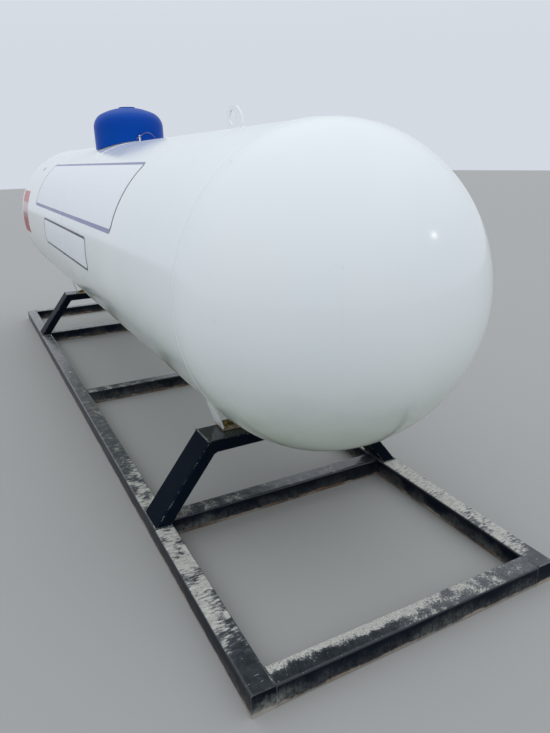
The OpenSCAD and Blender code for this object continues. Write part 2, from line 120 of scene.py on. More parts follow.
class Wires:
    """Short ways to add to one node tree. A value is a socket or a number."""

    def __init__(self, tree):
        self.tree = tree
        self.coordinates = self.add("TexCoord").outputs
        self.place, self.normal = self.coordinates["Object"], self.coordinates["Normal"]

    def feed(self, socket, value):
        """Links a socket to the value, or writes the number in it."""
        if isinstance(value, bpy.types.NodeSocket):
            self.tree.links.new(value, socket)
        else:
            socket.default_value = value

    def add(self, kind, **settings):
        """A node. A setting that starts with in_ goes to a socket, any other is a property."""
        node = self.tree.nodes.new("ShaderNode" + kind)
        for key, value in settings.items():
            if key.startswith("in_"):
                self.feed(node.inputs[key[3:].replace("_", " ")], value)
            else:
                setattr(node, key, value)
        return node

    def operate(self, kind, operation, *values, **settings):
        """The outputs of a math node on some values."""
        node = self.add(kind, operation=operation, **settings)
        for socket, value in zip(node.inputs, values):
            self.feed(socket, value)
        return node.outputs

    def calc(self, operation, *values, clamp=False):
        return self.operate("Math", operation, *values, use_clamp=clamp)[0]

    def times(self, first, second, clamp=False):
        return self.calc("MULTIPLY", first, second, clamp=clamp)

    def plus(self, first, *more):
        for value in more:
            first = self.calc("ADD", first, value)
        return first

    def minus(self, first, second):
        return self.calc("SUBTRACT", first, second)

    def highest(self, first, *more):
        for value in more:
            first = self.calc("MAXIMUM", first, value)
        return first

    def size(self, value):
        return self.calc("ABSOLUTE", value)

    def swing(self, value, reach):
        """A noise moved to swing about zero, by its reach."""
        return self.times(self.minus(value, 0.5), reach)

    def parts(self, vector):
        """The X, Y and Z of a vector."""
        return self.add("SeparateXYZ", in_Vector=vector).outputs

    def join(self, **parts):
        """A vector of in_X, in_Y and in_Z."""
        return self.add("CombineXYZ", **parts).outputs["Vector"]

    def squeeze(self, scale):
        """The place, scaled on each axis, which stretches a noise the other way."""
        return self.add("Mapping", in_Scale=scale, in_Vector=self.place).outputs["Vector"]

    def ramp(self, value, low, high):
        """Rises smoothly from 0 at low to 1 at high."""
        return self.add("MapRange", interpolation_type="SMOOTHSTEP", in_Value=value,
                        in_From_Min=low, in_From_Max=high).outputs["Result"]

    def noise(self, vector, scale, detail, rough):
        return self.add("TexNoise", in_Vector=vector, in_Scale=scale, in_Detail=detail,
                        in_Roughness=rough).outputs["Fac"]

    def mix(self, kind, factor, low, high):
        """Goes from low to high. kind is FLOAT, VECTOR or RGBA."""
        node = self.add("Mix", data_type=kind, in_Factor=factor)
        first, second, result = MIX_SOCKETS[kind]
        self.feed(node.inputs[first], low)
        self.feed(node.inputs[second], high)
        return node.outputs[result]

    def blend(self, factor, low, high):
        """Blends two colours, each a socket or a red, green and blue."""
        low, high = [(*c, 1) if isinstance(c, tuple) else c for c in (low, high)]
        return self.mix("RGBA", factor, low, high)

    def layers(self, colour, *coats):
        """Lays coats over a colour in turn. A coat is its mask, its strength and its tone."""
        for mask, strength, tone in coats:
            colour = self.blend(self.times(mask, strength), colour, tone)
        return colour


class Group(Wires):
    """A node group. given holds its inputs with their values, gives its outputs and kinds."""

    def __init__(self, name, given, gives):
        tree = bpy.data.node_groups.new(name, "ShaderNodeTree")
        for label, value in given.items():
            kind = "NodeSocketVector" if isinstance(value, tuple) else "NodeSocketFloat"
            socket = tree.interface.new_socket(name=label, in_out="INPUT", socket_type=kind)
            socket.default_value = value
        for label, kind in gives.items():
            tree.interface.new_socket(name=label, in_out="OUTPUT", socket_type="NodeSocket" + kind)
        super().__init__(tree)
        self.given = tree.nodes.new("NodeGroupInput").outputs
        self.ends = tree.nodes.new("NodeGroupOutput").inputs
        print("group", name)

    def give(self, label, value):
        self.feed(self.ends[label], value)


class Finish(Wires):
    """A material. Values that are the same all over go on the shader's own sockets."""

    def __init__(self, name, roughness=0.4, metallic=0.0):
        self.material = bpy.data.materials.new(name)
        self.material.use_nodes = True
        super().__init__(self.material.node_tree)
        self.shader = self.tree.nodes["Principled BSDF"].inputs
        self.put("Roughness", roughness)
        self.put("Metallic", metallic)
        print("finish", name)

    def put(self, label, value):
        self.feed(self.shader[label], value)

    def use(self, group, **values):
        """The outputs of a group that is placed here with its own values."""
        values = {"in_" + label: value for label, value in values.items()}
        return self.add("Group", node_tree=group.tree, **values).outputs

    def bump(self, height, **more):
        """Feeds a height in metres to the shader's normal."""
        node = self.add("Bump", in_Strength=1.0, in_Distance=1.0, in_Height=height, **more)
        self.put("Normal", node.outputs["Normal"])


print("helpers ready")

# %% [markdown]
# ## Crust and dust that settle
# What lies on a level face has two parts. One is a pale crust of dried lime and road salt, thick
# in places and frayed into short strokes at its rim. The other is a thin film of dust. Both leave
# steep sides clean. Cover says which share of the face the crust takes: it is compared with a sum
# of noises, where large patches decide where the crust lies, strokes fray it and fine grains
# sprinkle it. The strokes are drawn out along a direction that each finish chooses. A halo of
# film thickens towards the crust, and loose grains lie about in it. The group reads the piece's
# own coordinates, so the dust stays where it is when the cover swings open.

# %% Group: settled dust
g = Group("settled dust",
          {"Cover": 0.5, "Film": 0.3, "Scale": 9.0, "Steepest": 0.55, "Drawn out": (1.0, 1.0, 1.0),
           "Sky from": 0.1, "Halo": 0.0},
          {"Crust": "Float", "Film": "Float", "Grit": "Float", "Open to the sky": "Float"})
dust_group = g
up = g.parts(g.normal)["Z"]
upward = g.ramp(up, g.given["Steepest"], 1.0)
drawn = g.operate("VectorMath", "MULTIPLY", g.place, g.given["Drawn out"])["Vector"]
patches = g.noise(g.place, g.given["Scale"], 4.0, 0.55)
strokes = g.noise(drawn, g.times(g.given["Scale"], 9.0), 4.0, 0.65)
slow = g.noise(g.place, g.times(g.given["Scale"], 2.0), 5.0, 0.6)
grains = g.noise(g.place, 330.0, 4.0, 0.7)
total = g.plus(g.given["Cover"], g.swing(patches, 1.5), g.swing(strokes, 1.25),
               g.swing(grains, 0.3))
loose = g.ramp(g.noise(drawn, 170.0, 1.0, 0.4), 0.70, 0.76)
crust = g.highest(g.ramp(total, 0.38, 0.68), g.times(loose, g.given["Halo"]))
thin = g.times(g.given["Film"], g.ramp(slow, 0.1, 0.7))
thin = g.highest(thin, g.times(g.given["Halo"], g.ramp(total, -0.05, 0.5)))
g.give("Crust", g.times(crust, upward, clamp=True))
g.give("Film", g.times(thin, upward, clamp=True))
g.give("Grit", g.plus(g.times(grains, 0.5), g.times(strokes, 0.5)))
g.give("Open to the sky", g.ramp(up, g.given["Sky from"], g.plus(g.given["Sky from"], 0.3)))

# %% [markdown]
# ## Streaks left by rain
# Rain washes dirt down the sides in thin lines. On a lying cylinder the lines run round the
# shell, so the noise is stretched: it changes quickly along the tank and slowly in height. On the
# heads, which face along the tank, it changes quickly across instead.

# %% Group: rain streaks
g = Group("rain streaks", {"Fineness": 26.0, "Amount": 0.4}, {"Mask": "Float"})
streak_group = g
where, facing = g.parts(g.place), g.parts(g.normal)
slowly = g.times(where["Z"], 1.7)
on_side, on_head = [
    g.noise(g.join(in_X=g.times(where[axis], g.given["Fineness"]), in_Z=slowly), 1.0, 5.0, 0.6)
    for axis in ("X", "Y")]
chosen = g.mix("FLOAT", g.ramp(g.size(facing["X"]), 0.35, 0.75), on_side, on_head)
limit = g.minus(0.74, g.times(g.given["Amount"], 0.3))
lines = g.ramp(chosen, limit, g.plus(limit, 0.16))
steep = g.ramp(g.times(facing["Z"], -1.0), -0.55, -0.1)
g.give("Mask", g.times(lines, steep, clamp=True))

# %% [markdown]
# ## The skin of sprayed paint
# Sprayed gloss paint is never a perfect mirror. Close up it has the fine dimples that painters
# call orange peel, and from further off the rolled plate under it is faintly wavy, which bends
# the reflections. Both are heights for a bump node.

# %% Group: sprayed skin
PEEL_DEPTH, WAVE_DEPTH = 0.00012, 0.004
g = Group("sprayed skin", {"Peel": 0.3, "Plate wave": 0.5}, {"Height": "Float", "Tone": "Float"})
skin_group = g
dimples = g.times(g.noise(g.place, 420.0, 2.0, 0.5), g.times(g.given["Peel"], PEEL_DEPTH))
waves = g.times(g.noise(g.place, 3.2, 1.0, 0.4), g.times(g.given["Plate wave"], WAVE_DEPTH))
g.give("Height", g.plus(dimples, waves))
g.give("Tone", g.noise(g.place, 1.6, 3.0, 0.5))

# %% [markdown]
# ## Worn edges and chipped corners
# Paint on tube and plate goes first where two faces meet, where chains, forks and boots touch it.
# A bevel node knows how the surface would turn if its edges were rounded; where that differs from
# the true surface there is an edge. Noise makes the wear come and go along it.
#
# The long corners of a tube are rounded already, and the paint on them is chipped to small dots.
# A corner is where the surface faces between two sides of the tube: there the part of its
# direction across the tube and the rest are both large, so their product is.

# %% Groups: worn edges and chipped corners
g = Group("worn edges", {"Reach": 0.005, "Wear": 0.5, "Scale": 24.0}, {"Mask": "Float"})
edge_group = g
rounded = g.add("Bevel", samples=4, in_Radius=g.given["Reach"]).outputs["Normal"]
true_face = g.add("NewGeometry").outputs["Normal"]
turned_by = g.minus(1.0, g.operate("VectorMath", "DOT_PRODUCT", rounded, true_face)["Value"])
limit = g.minus(0.75, g.times(g.given["Wear"], 0.45))
patchy = g.ramp(g.noise(g.place, g.given["Scale"], 6.0, 0.65), limit, g.plus(limit, 0.08))
g.give("Mask", g.times(g.ramp(turned_by, 0.02, 0.12), patchy, clamp=True))

g = Group("chipped corners", {"Across": 0.0, "Amount": 0.5}, {"Mask": "Float"})
chip_group = g
squared = g.times(g.given["Across"], g.given["Across"])
on_corner = g.ramp(g.times(squared, g.minus(1.0, squared)), 0.12, 0.22)
spells = g.swing(g.noise(g.place, 9.0, 3.0, 0.6), 0.4)
limit = g.minus(0.86, g.times(g.given["Amount"], 0.4))
dotted = g.ramp(g.plus(g.noise(g.place, 130.0, 4.0, 0.65), spells), limit, g.plus(limit, 0.06))
g.give("Mask", g.times(on_corner, dotted, clamp=True))

# %% [markdown]
# ## White tank paint
# The tank is sprayed in white gloss that has seen some winters: a touch bluer and greyer in
# slow patches, with pale streaks on the sides, a film of dust on top and a few rubbed places.
# The belly is painted a patchy grey green that deepens as the surface turns to face down: this
# is painted shade and a painted reflection of the dark ground, with some road dirt in it. It is
# laid on more strongly along the sides than on the heads. The paint is smooth, so most of its
# look is reflection, and the roughness changes only a little.
# At the crown of a head, where all strips of the mesh meet, the shading is taken from the sphere
# that the crown is part of, which keeps the reflection even.

# %% Finish: white tank paint
CROWN_R = 0.527
STAIN_Z = BEAM_TOP + 0.009
COOL_WHITE, WARM_WHITE = (0.847, 0.896, 0.903), (0.891, 0.927, 0.922)
STREAK_GREY, DUST_GREY, RUBBED_GREY = (0.60, 0.62, 0.61), (0.66, 0.65, 0.61), (0.60, 0.64, 0.67)
# The grey green of the belly is mostly painted shade and painted reflection of the ground.
BELLY_SHADE_AND_GRIME = (0.49, 0.56, 0.44)
STAIN_PALE, STAIN_DARK = (0.42, 0.31, 0.13), (0.15, 0.105, 0.06)


def white_finish(name, stained_below=None):
    """White gloss with faint streaks and dust. Below a height in metres it is stained brown."""
    p = Finish(name)
    where, facing = p.parts(p.place), p.parts(p.normal)
    skin = p.use(skin_group, Peel=0.5, Plate_wave=0.35)
    streaks = p.use(streak_group, Fineness=24.0, Amount=0.28)["Mask"]
    film = p.use(dust_group, Cover=-0.5, Film=0.6, Scale=5.0, Steepest=0.2)["Film"]
    # Painted shade: the more the surface faces down, the more patchy grey green is laid on. It
    # stands in for shade and the reflection of the ground below, with some road dirt.
    facing_down_shade = p.ramp(p.times(facing["Z"], -1.0), 0.0, 0.95)
    blotches = p.plus(0.62, p.swing(p.noise(p.place, 4.0, 7.0, 0.62), 0.9))
    blotches = p.times(blotches, p.minus(1.9, p.times(p.size(facing["X"]), 0.9)))
    rubs = p.ramp(p.noise(p.place, 26.0, 8.0, 0.7), 0.62, 0.72)
    seldom = p.ramp(p.noise(p.place, 4.5, 2.0, 0.5), 0.56, 0.66)
    colour = p.layers(p.blend(p.ramp(skin["Tone"], 0.3, 0.7), COOL_WHITE, WARM_WHITE),
                      (streaks, 0.12, STREAK_GREY), (film, 0.09, DUST_GREY),
                      (facing_down_shade, blotches, BELLY_SHADE_AND_GRIME), (p.times(rubs, seldom), 0.4, RUBBED_GREY))
    rough = p.plus(0.13, p.times(film, 0.10), p.times(streaks, 0.08))
    if stained_below:
        blots = p.noise(p.place, 55.0, 6.0, 0.65)
        ragged = p.plus(where["Z"], p.swing(blots, -0.022))
        stain = p.minus(1.0, p.ramp(ragged, stained_below - 0.002, stained_below + 0.003))
        tone = p.blend(p.ramp(blots, 0.42, 0.6), STAIN_PALE, STAIN_DARK)
        colour = p.layers(colour, (stain, 0.92, tone))
        rough = p.plus(rough, p.times(stain, 0.5))
    p.put("Base Color", colour)
    p.put("Roughness", rough)
    from_centre = p.join(in_X=p.times(p.calc("SIGN", where["X"]), CROWN_R), in_Y=where["Y"],
                         in_Z=p.minus(where["Z"], AXIS_Z))
    sphere = p.operate("VectorMath", "NORMALIZE", from_centre)["Vector"]
    at_crown = p.ramp(p.size(p.parts(sphere)["X"]), 0.9976, 0.9988)
    even = p.mix("VECTOR", at_crown, p.add("NewGeometry").outputs["Normal"], sphere)
    p.bump(skin["Height"], in_Normal=even)
    return p.material


tank_white = white_finish("tank_white_gloss")
foot_white = white_finish("tank_white_stained_feet", STAIN_Z)

# %% [markdown]
# ## Blue cover paint
# The valve cover is pressed from thin sheet and painted a strong blue. Its top is slightly
# chalked where the sun reaches it, and the sides still shine.

# %% Finish: blue cover paint
DEEP_BLUE, BRIGHT_BLUE, CHALK_BLUE = (0.0, 0.052, 0.36), (0.0, 0.070, 0.43), (0.14, 0.30, 0.66)
STREAK_BLUE, BARED_METAL = (0.10, 0.18, 0.40), (0.30, 0.33, 0.40)


def blue_finish(name, wear=0.0):
    """Blue gloss with chalk and faint streaks. wear bares the metal along the edges."""
    p = Finish(name)
    p.put("Specular IOR Level", 0.08)
    skin = p.use(skin_group, Peel=0.8, Plate_wave=0.12)
    dust = p.use(dust_group, Cover=0.1, Film=0.8, Scale=11.0, Steepest=0.35)
    streaks = p.use(streak_group, Fineness=42.0, Amount=0.3)["Mask"]
    faded = p.highest(p.times(dust["Film"], 0.16), p.times(dust["Crust"], 0.22))
    colour = p.layers(p.blend(p.ramp(skin["Tone"], 0.3, 0.7), DEEP_BLUE, BRIGHT_BLUE),
                      (faded, 1.0, CHALK_BLUE), (streaks, 0.07, STREAK_BLUE))
    if wear:
        worn = p.use(edge_group, Reach=0.003, Wear=wear, Scale=60.0)["Mask"]
        colour = p.blend(worn, colour, BARED_METAL)
    p.put("Base Color", colour)
    p.put("Roughness", p.plus(0.34, p.times(dust["Film"], 0.2)))
    p.bump(skin["Height"])
    return p.material


lid_blue = blue_finish("cover_blue_gloss")
hasp_blue = blue_finish("hasp_blue_worn", 1.3)

# %% [markdown]
# ## Splashes low on the skid
# Wheels and rain throw mud at the sides of the tubes. It dries as blots with small specks round
# them, as a wash that thins out upward in drips, and as a pale or rusty line along the lower edge.

# %% Group: dried splashes
g = Group("dried splashes", {"Amount": 0.4, "Scale": 7.0, "Rusty": 0.0},
          {"Mask": "Float", "Low edge": "Float", "Wash": "Float", "Edge tone": "Color"})
splash_group = g
level = g.times(g.parts(g.place)["Z"], -1.0)
blots = g.noise(g.place, g.given["Scale"], 8.0, 0.7)
drops = g.add("TexVoronoi", in_Scale=75.0, in_Randomness=1.0, in_Vector=g.place)
specks = g.ramp(g.times(drops.outputs["Distance"], -1.0), -0.22, -0.1)
limit = g.minus(0.8, g.times(g.given["Amount"], 0.42))
near_blot = g.ramp(blots, g.minus(limit, 0.16), limit)
both = g.highest(g.ramp(blots, limit, g.plus(limit, 0.14)), g.times(near_blot, specks))
g.give("Mask", g.times(both, g.ramp(level, -0.20, -0.01), clamp=True))
g.give("Low edge", g.ramp(g.plus(level, g.swing(blots, 0.045)), -0.018, -0.006))
drips = g.noise(g.squeeze((95.0, 95.0, 16.0)), 1.0, 6.0, 0.7)
clouds = g.noise(g.place, 7.0, 6.0, 0.65)
smudges = g.noise(g.place, 60.0, 8.0, 0.75)
reach = g.plus(level, g.swing(clouds, 0.13), g.swing(drips, 0.03))
mottle = g.plus(g.swing(smudges, 1.4), g.swing(drips, 0.3))
washed = g.times(g.ramp(reach, -0.062, 0.0), g.ramp(mottle, -0.4, 0.4))
on_steep = g.ramp(g.times(g.size(g.parts(g.normal)["Z"]), -1.0), -0.6, -0.2)
g.give("Wash", g.times(washed, on_steep, clamp=True))
g.give("Edge tone", g.blend(g.ramp(g.plus(clouds, g.given["Rusty"]), 0.42, 0.56),
                            (0.46, 0.375, 0.30), (0.20, 0.105, 0.055)))

# %% [markdown]
# ## Black skid paint
# The skid has had the hardest life. It is sprayed in a very dark navy gloss, with pale crust on
# its level faces, brown splashes low on the sides, rust along the lower edges and bare metal at
# the corners. Its edges are lightened to a pale grey: partly wear, partly a painted highlight
# where the edges catch the sky, strongest along the end tubes. The layers go on in the order
# in which they happened: paint, rust where it is worn
# away, then splashes, then dust, then crust.
#
# The crust isn't spread evenly: on the left runner it is thick beside the near trestle and gone
# before the corner, and on the near end tube it hugs the inner edge. A colour ramp works as a
# graph here. Its stops are places along the tube, and their grey is how much crust lies there.

# %% Helper: a graph along a tube
def graph_along(p, axis, stops):
    """A value that follows (place in metres, value) stops along an axis."""
    first, last = stops[0][0], stops[-1][0]
    share = p.add("MapRange", in_From_Min=first, in_From_Max=last,
                  in_Value=p.parts(p.place)[axis]).outputs["Result"]
    graph = p.add("ValToRGB", in_Fac=share)
    marks = graph.color_ramp.elements
    for i, (at, value) in enumerate(stops):
        mark = marks[i] if i < 2 else marks.new(1.0)
        mark.position = (at - first) / (last - first)
        mark.color = (value, value, value, 1)
    return graph.outputs["Color"]


# %% Finish: black skid paint
NAVY_DARK, NAVY_PALE = (0.0025, 0.005, 0.010), (0.005, 0.009, 0.017)
WORN_AND_HIGHLIGHT_GREY, CHIP_GREY = (0.155, 0.15, 0.145), (0.13, 0.138, 0.14)
SPLASH_BROWN, SIDE_GRIME = (0.10, 0.095, 0.088), (0.058, 0.056, 0.050)
WASH_GREY = (0.40, 0.405, 0.375)
FILM_BLUE, FILM_WARM = (0.105, 0.116, 0.132), (0.175, 0.165, 0.15)
CRUST_GREY, CRUST_PALE = (0.27, 0.265, 0.245), (0.68, 0.67, 0.62)
NO_WASH = [(-0.5, 0.0), (0.5, 0.0)]


def skid_finish(name, axis, cover, film, wear, gloss, side_film=0.0, across=None, share=None,
                wash=NO_WASH, scale=13.0, drawn=0.3, sky_from=0.1, rusty=0.0, chipped=0.5):
    """Navy black gloss with crust and dust. cover, film and wash are graphs along the tube.
    across is one over its width, which counts as much as the graph share says along the tube."""
    p = Finish(name)
    p.put("Specular IOR Level", gloss)
    p.put("Coat Roughness", 0.22)
    other_axis = "Y" if axis == "X" else "X"
    amount = graph_along(p, axis, cover)
    if across:
        side = p.times(graph_along(p, other_axis, across), graph_along(p, axis, share))
        amount = p.plus(amount, side)
    skin = p.use(skin_group, Peel=1.6, Plate_wave=0.1)
    dust = p.use(dust_group, Cover=p.minus(amount, 0.3), Film=graph_along(p, axis, film),
                 Scale=scale, Steepest=0.6, Sky_from=sky_from, Halo=0.6,
                 Drawn_out=(1.0, drawn, 1.0) if axis == "X" else (drawn, 1.0, 1.0))
    splash = p.use(splash_group, Amount=0.35, Scale=8.0, Rusty=rusty)
    worn = p.use(edge_group, Reach=0.004, Wear=wear, Scale=22.0)["Mask"]
    chips = p.use(chip_group, Amount=chipped, Across=p.parts(p.normal)[other_axis])["Mask"]
    blotches = p.ramp(p.noise(p.place, 14.0, 6.0, 0.65), 0.3, 0.7)
    film_tone = p.blend(p.ramp(dust["Film"], 0.5, 1.0), FILM_BLUE, FILM_WARM)
    crust_tone = p.blend(p.ramp(dust["Grit"], 0.34, 0.62), CRUST_GREY, CRUST_PALE)
    # The grey along the edges is partly worn paint and partly a painted highlight of the edges.
    colour = p.layers(
        p.blend(p.ramp(skin["Tone"], 0.3, 0.7), NAVY_DARK, NAVY_PALE),
        (worn, 0.7, WORN_AND_HIGHLIGHT_GREY), (chips, 1.0, CHIP_GREY),
        (splash["Low edge"], 0.8, splash["Edge tone"]), (splash["Mask"], 0.25, SPLASH_BROWN),
        (blotches, side_film, SIDE_GRIME), (splash["Wash"], graph_along(p, axis, wash), WASH_GREY),
        (dust["Film"], 1.0, film_tone), (dust["Crust"], 0.94, crust_tone))
    p.put("Base Color", colour)
    p.put("Coat Weight", p.times(dust["Open to the sky"], p.minus(1.0, dust["Crust"])))
    matt = p.highest(dust["Crust"], splash["Mask"], worn, p.times(dust["Film"], 0.6))
    p.put("Roughness", p.plus(0.2, p.times(matt, 0.65)))
    grit = p.times(p.times(dust["Grit"], dust["Crust"]), 0.0012)
    p.bump(p.plus(skin["Height"], grit))
    return p.material


skid_runner = skid_finish(
    "skid_black_left_runner", "X", wear=0.35, gloss=0.02, side_film=0.06,
    cover=[(-2.48, 0.50), (-1.2, 0.44), (0.0, 0.48), (0.9, 0.60), (1.3, 0.80), (1.5, 0.90),
           (1.72, 0.98), (2.0, 0.94), (2.18, 1.0), (2.30, 0.66), (2.38, 0.34), (2.48, 0.2)],
    film=[(-2.48, 1.0), (0.4, 0.9), (1.2, 0.5), (2.48, 0.3)],
    wash=[(-2.48, 0.3), (2.2, 0.12), (2.48, 0.3)])
skid_runner_right = skid_finish(
    "skid_black_right_runner", "X", wear=0.35, gloss=0.018, side_film=0.08,
    cover=[(-2.48, 0.45), (0.9, 0.5), (1.3, 0.75), (1.55, 1.15), (2.0, 1.06), (2.36, 0.88),
           (2.42, 0.5), (2.48, 0.3)],
    film=[(-2.48, 1.0), (0.8, 0.9), (1.4, 0.4), (2.48, 0.4)],
    wash=[(-2.48, 0.3), (2.48, 0.3)])
# The end tubes get the most edge grey: partly wear, partly a painted highlight along their edges.
skid_end = skid_finish(
    "skid_black_end_tubes", "Y", wear=1.0, gloss=0.04, scale=24.0, drawn=0.8, rusty=-0.12,
    cover=[(-0.49, 0.30), (-0.44, 0.10), (-0.3, 0.14), (-0.10, 0.34), (0.02, 0.66), (0.14, 0.62),
           (0.22, 0.72), (0.36, 0.66), (0.49, 0.5)],
    film=[(-0.49, 0.2), (0.0, 0.3), (0.2, 0.6), (0.49, 0.7)],
    across=[(2.405, 1.2), (2.430, 0.96), (2.460, 0.0), (2.48, -0.1)],
    share=[(-0.49, 0.85), (-0.3, 0.95), (-0.12, 1.05), (0.02, 0.6), (0.12, 0.15), (0.49, 0.0)],
    wash=[(-0.56, 1.0), (-0.49, 0.9), (-0.46, 0.4), (-0.40, 0.25), (-0.25, 0.12), (-0.10, 0.2),
          (0.0, 0.45), (0.1, 0.4), (0.3, 0.22), (0.56, 0.28)])
skid_cross = skid_finish(
    "skid_black_cross_tubes", "Y", wear=0.3, gloss=0.03, side_film=0.12, drawn=2.2,
    cover=[(-0.49, 0.74), (-0.25, 0.62), (0.0, 0.5), (0.49, 0.48)],
    film=[(-0.49, 0.7), (0.49, 0.8)],
    wash=[(-0.49, 0.55), (-0.3, 0.35), (0.0, 0.2), (0.49, 0.1)])
skid_trestle = skid_finish(
    "skid_black_trestles", "Y", wear=0.5, gloss=0.008, side_film=0.03, sky_from=0.7, chipped=0.8,
    cover=[(-0.49, 0.0), (-0.33, 0.02), (-0.28, 0.22), (0.28, 0.22), (0.33, 0.02), (0.49, 0.0)],
    film=[(-0.49, 0.2), (0.49, 0.2)])
skid_weld = skid_finish(
    "skid_black_welds", "Y", wear=0.3, gloss=0.05, scale=30.0, drawn=1.0,
    cover=[(-0.49, 0.62), (0.49, 0.62)], film=[(-0.49, 0.6), (0.49, 0.6)])

# %% [markdown]
# ## Brass and bare steel
# Under the cover are turned brass valves and a few bare steel parts. They stay out of the rain,
# so they are only dulled. The turning marks are a fine noise squeezed in height.

# %% Finishes: brass and steel
def metal_finish(name, clean, dull, roughness):
    """Turned metal with patches of tarnish."""
    p = Finish(name, metallic=1.0)
    tarnish = p.ramp(p.noise(p.place, 38.0, 5.0, 0.6), 0.42, 0.66)
    p.put("Base Color", p.blend(tarnish, clean, dull))
    p.put("Roughness", p.plus(roughness, p.times(tarnish, 0.25)))
    p.bump(p.times(p.noise(p.squeeze((30.0, 30.0, 1400.0)), 1.0, 2.0, 0.5), 0.00012))
    return p.material


valve_brass = metal_finish("valve_brass", (0.64, 0.47, 0.20), (0.30, 0.21, 0.11), 0.28)
bare_steel = metal_finish("zinc_plated_steel", (0.60, 0.61, 0.62), (0.36, 0.34, 0.31), 0.34)
copper_wire = metal_finish("copper_seal_wire", (0.50, 0.38, 0.33), (0.28, 0.20, 0.17), 0.34)

# %% [markdown]
# ## Giving the nodes their finishes
# The node's shape is right, so only its material changes.

# %% Dress the nodes
FINISH_OF = [
    (tank_white, ["shell_course_near", "shell_course_far", "head_near", "head_far", "dome_collar",
                  "lifting_lug_near", "lifting_lug_far", "hinge_bracket", "seal_staple"]),
    (foot_white, [f"tank_foot_{c}" for c in CORNERS]),
    (lid_blue, ["dome_lid"]),
    (hasp_blue, ["lid_hasp"]),
    (skid_runner, ["runner_left"]),
    (skid_runner_right, ["runner_right"]),
    (skid_end, ["end_member_near"] + [f"runner_cap_{c}" for c in CORNERS]),
    (skid_cross, ["end_member_far", "cross_member_near", "cross_member_middle",
                  "cross_member_far"]),
    (skid_trestle, ["trestle_beam_near", "trestle_beam_far"]
     + [f"trestle_leg_{c}" for c in CORNERS]),
    (valve_brass, ["relief_valve", "fill_valve", "service_valve", "vapour_valve"]),
    (bare_steel, ["lid_hinge_leaf", "hinge_pin", "level_gauge"])]
for material, names in FINISH_OF:
    for name in names:
        mesh = nodes[name].data
        mesh.materials.clear()
        mesh.materials.append(material)
        for face in mesh.polygons:
            face.material_index = 0
print("dressed", sum(len(names) for material, names in FINISH_OF), "nodes")

# %% [markdown]
# ## Rounded plate edges
# Flame cut plate always has its edges broken with a grinder. A narrow bevel on the plates gives
# their edges a small highlight. The modifier only takes material away, so no piece grows.

# %% Break the plate edges
PLATES = ["lifting_lug_near", "lifting_lug_far", "hinge_bracket", "lid_hasp", "seal_staple",
          "lid_hinge_leaf"]
PLATES += [f"tank_foot_{c}" for c in CORNERS] + [f"runner_cap_{c}" for c in CORNERS]
for name in PLATES:
    bevel = nodes[name].modifiers.new("broken edge", "BEVEL")
    bevel.width = 0.0012
    bevel.segments = 2
    bevel.limit_method = "ANGLE"
    bevel.angle_limit = math.radians(40)
print("edges broken on", len(PLATES), "plates")

# %% [markdown]
# ## Weld beads
# Everything here is held by welds. A bead is a row of overlapping puddles: a thin worm whose
# height rises and falls every few millimetres. It is swept along a path, which is a list of
# points with a surface direction at each, so it can lie flat on the shell or fill the corner
# between two plates.

# %% Helpers: pieces and beads
def make_piece(name, points, faces, material, slot_name="tank_white", body="tank"):
    """A smooth mesh object that rides on a body."""
    mesh = bpy.data.meshes.new(name)
    mesh.from_pydata([tuple(p) for p in points], [], faces)
    mesh.update()
    for face in mesh.polygons:
        face.use_smooth = True
    mesh.materials.append(material)
    piece = in_scene(name, mesh)
    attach(piece, body)
    return piece


def joined(meshes):
    """Several (points, faces) pairs as one."""
    points, faces = [], []
    for more_points, more_faces in meshes:
        start = len(points)
        points += more_points
        faces += [tuple(start + k for k in face) for face in more_faces]
    return points, faces


def tube_faces(count, sides, closed=False):
    """Faces between rings of points, with flat ends unless the tube is closed."""
    faces = []
    for i in range(count if closed else count - 1):
        j = (i + 1) % count
        for k in range(sides):
            m = (k + 1) % sides
            faces.append((i * sides + k, i * sides + m, j * sides + m, j * sides + k))
    if not closed:
        last = (count - 1) * sides
        faces += [tuple(reversed(range(sides))), tuple(range(last, last + sides))]
    return faces


def bead_mesh(path, width, height, closed=True, seed=1, sides=8, ripple=0.22, pitch=0.0045,
              flat=False):
    """Points and faces of a bead along a path. flat lets its edges run out."""
    chance = random.Random(seed)
    count = len(path)
    points, run = [], 0.0
    for i, (at, up) in enumerate(path):
        ahead = path[(i + 1) % count][0] if closed or i + 1 < count else at
        behind = path[i - 1][0] if closed or i else at
        along = (ahead - behind).normalized()
        side = along.cross(up).normalized()
        lift = side.cross(along).normalized()
        if i:
            run += (at - path[i - 1][0]).length
        wave = 0.5 + 0.5 * math.cos(2 * math.pi * run / pitch)
        swell = 1 - ripple * wave + chance.uniform(-0.05, 0.05)
        if not closed and i in (0, count - 1):
            swell *= 0.35
        for k in range(sides):
            a = 2 * math.pi * k / sides
            rise = math.sin(a) * (abs(math.sin(a)) if flat else 1)
            out = side * math.cos(a) * width / 2 * (0.9 + 0.1 * swell)
            points.append(at + out + lift * rise * height * swell)
    return points, tube_faces(count, sides, closed)


def bead(name, path, width, height, **more):
    """One closed weld bead on the tank as a piece of its own."""
    make_piece(name, *bead_mesh(path, width, height, **more), tank_white)


print("bead helpers ready")

# %% [markdown]
# ## Girth seams
# The shell is two rolled courses, and each head is welded on at its straight flange. The three
# seams run right round. They are low and wide, and the paint has filled them a little.

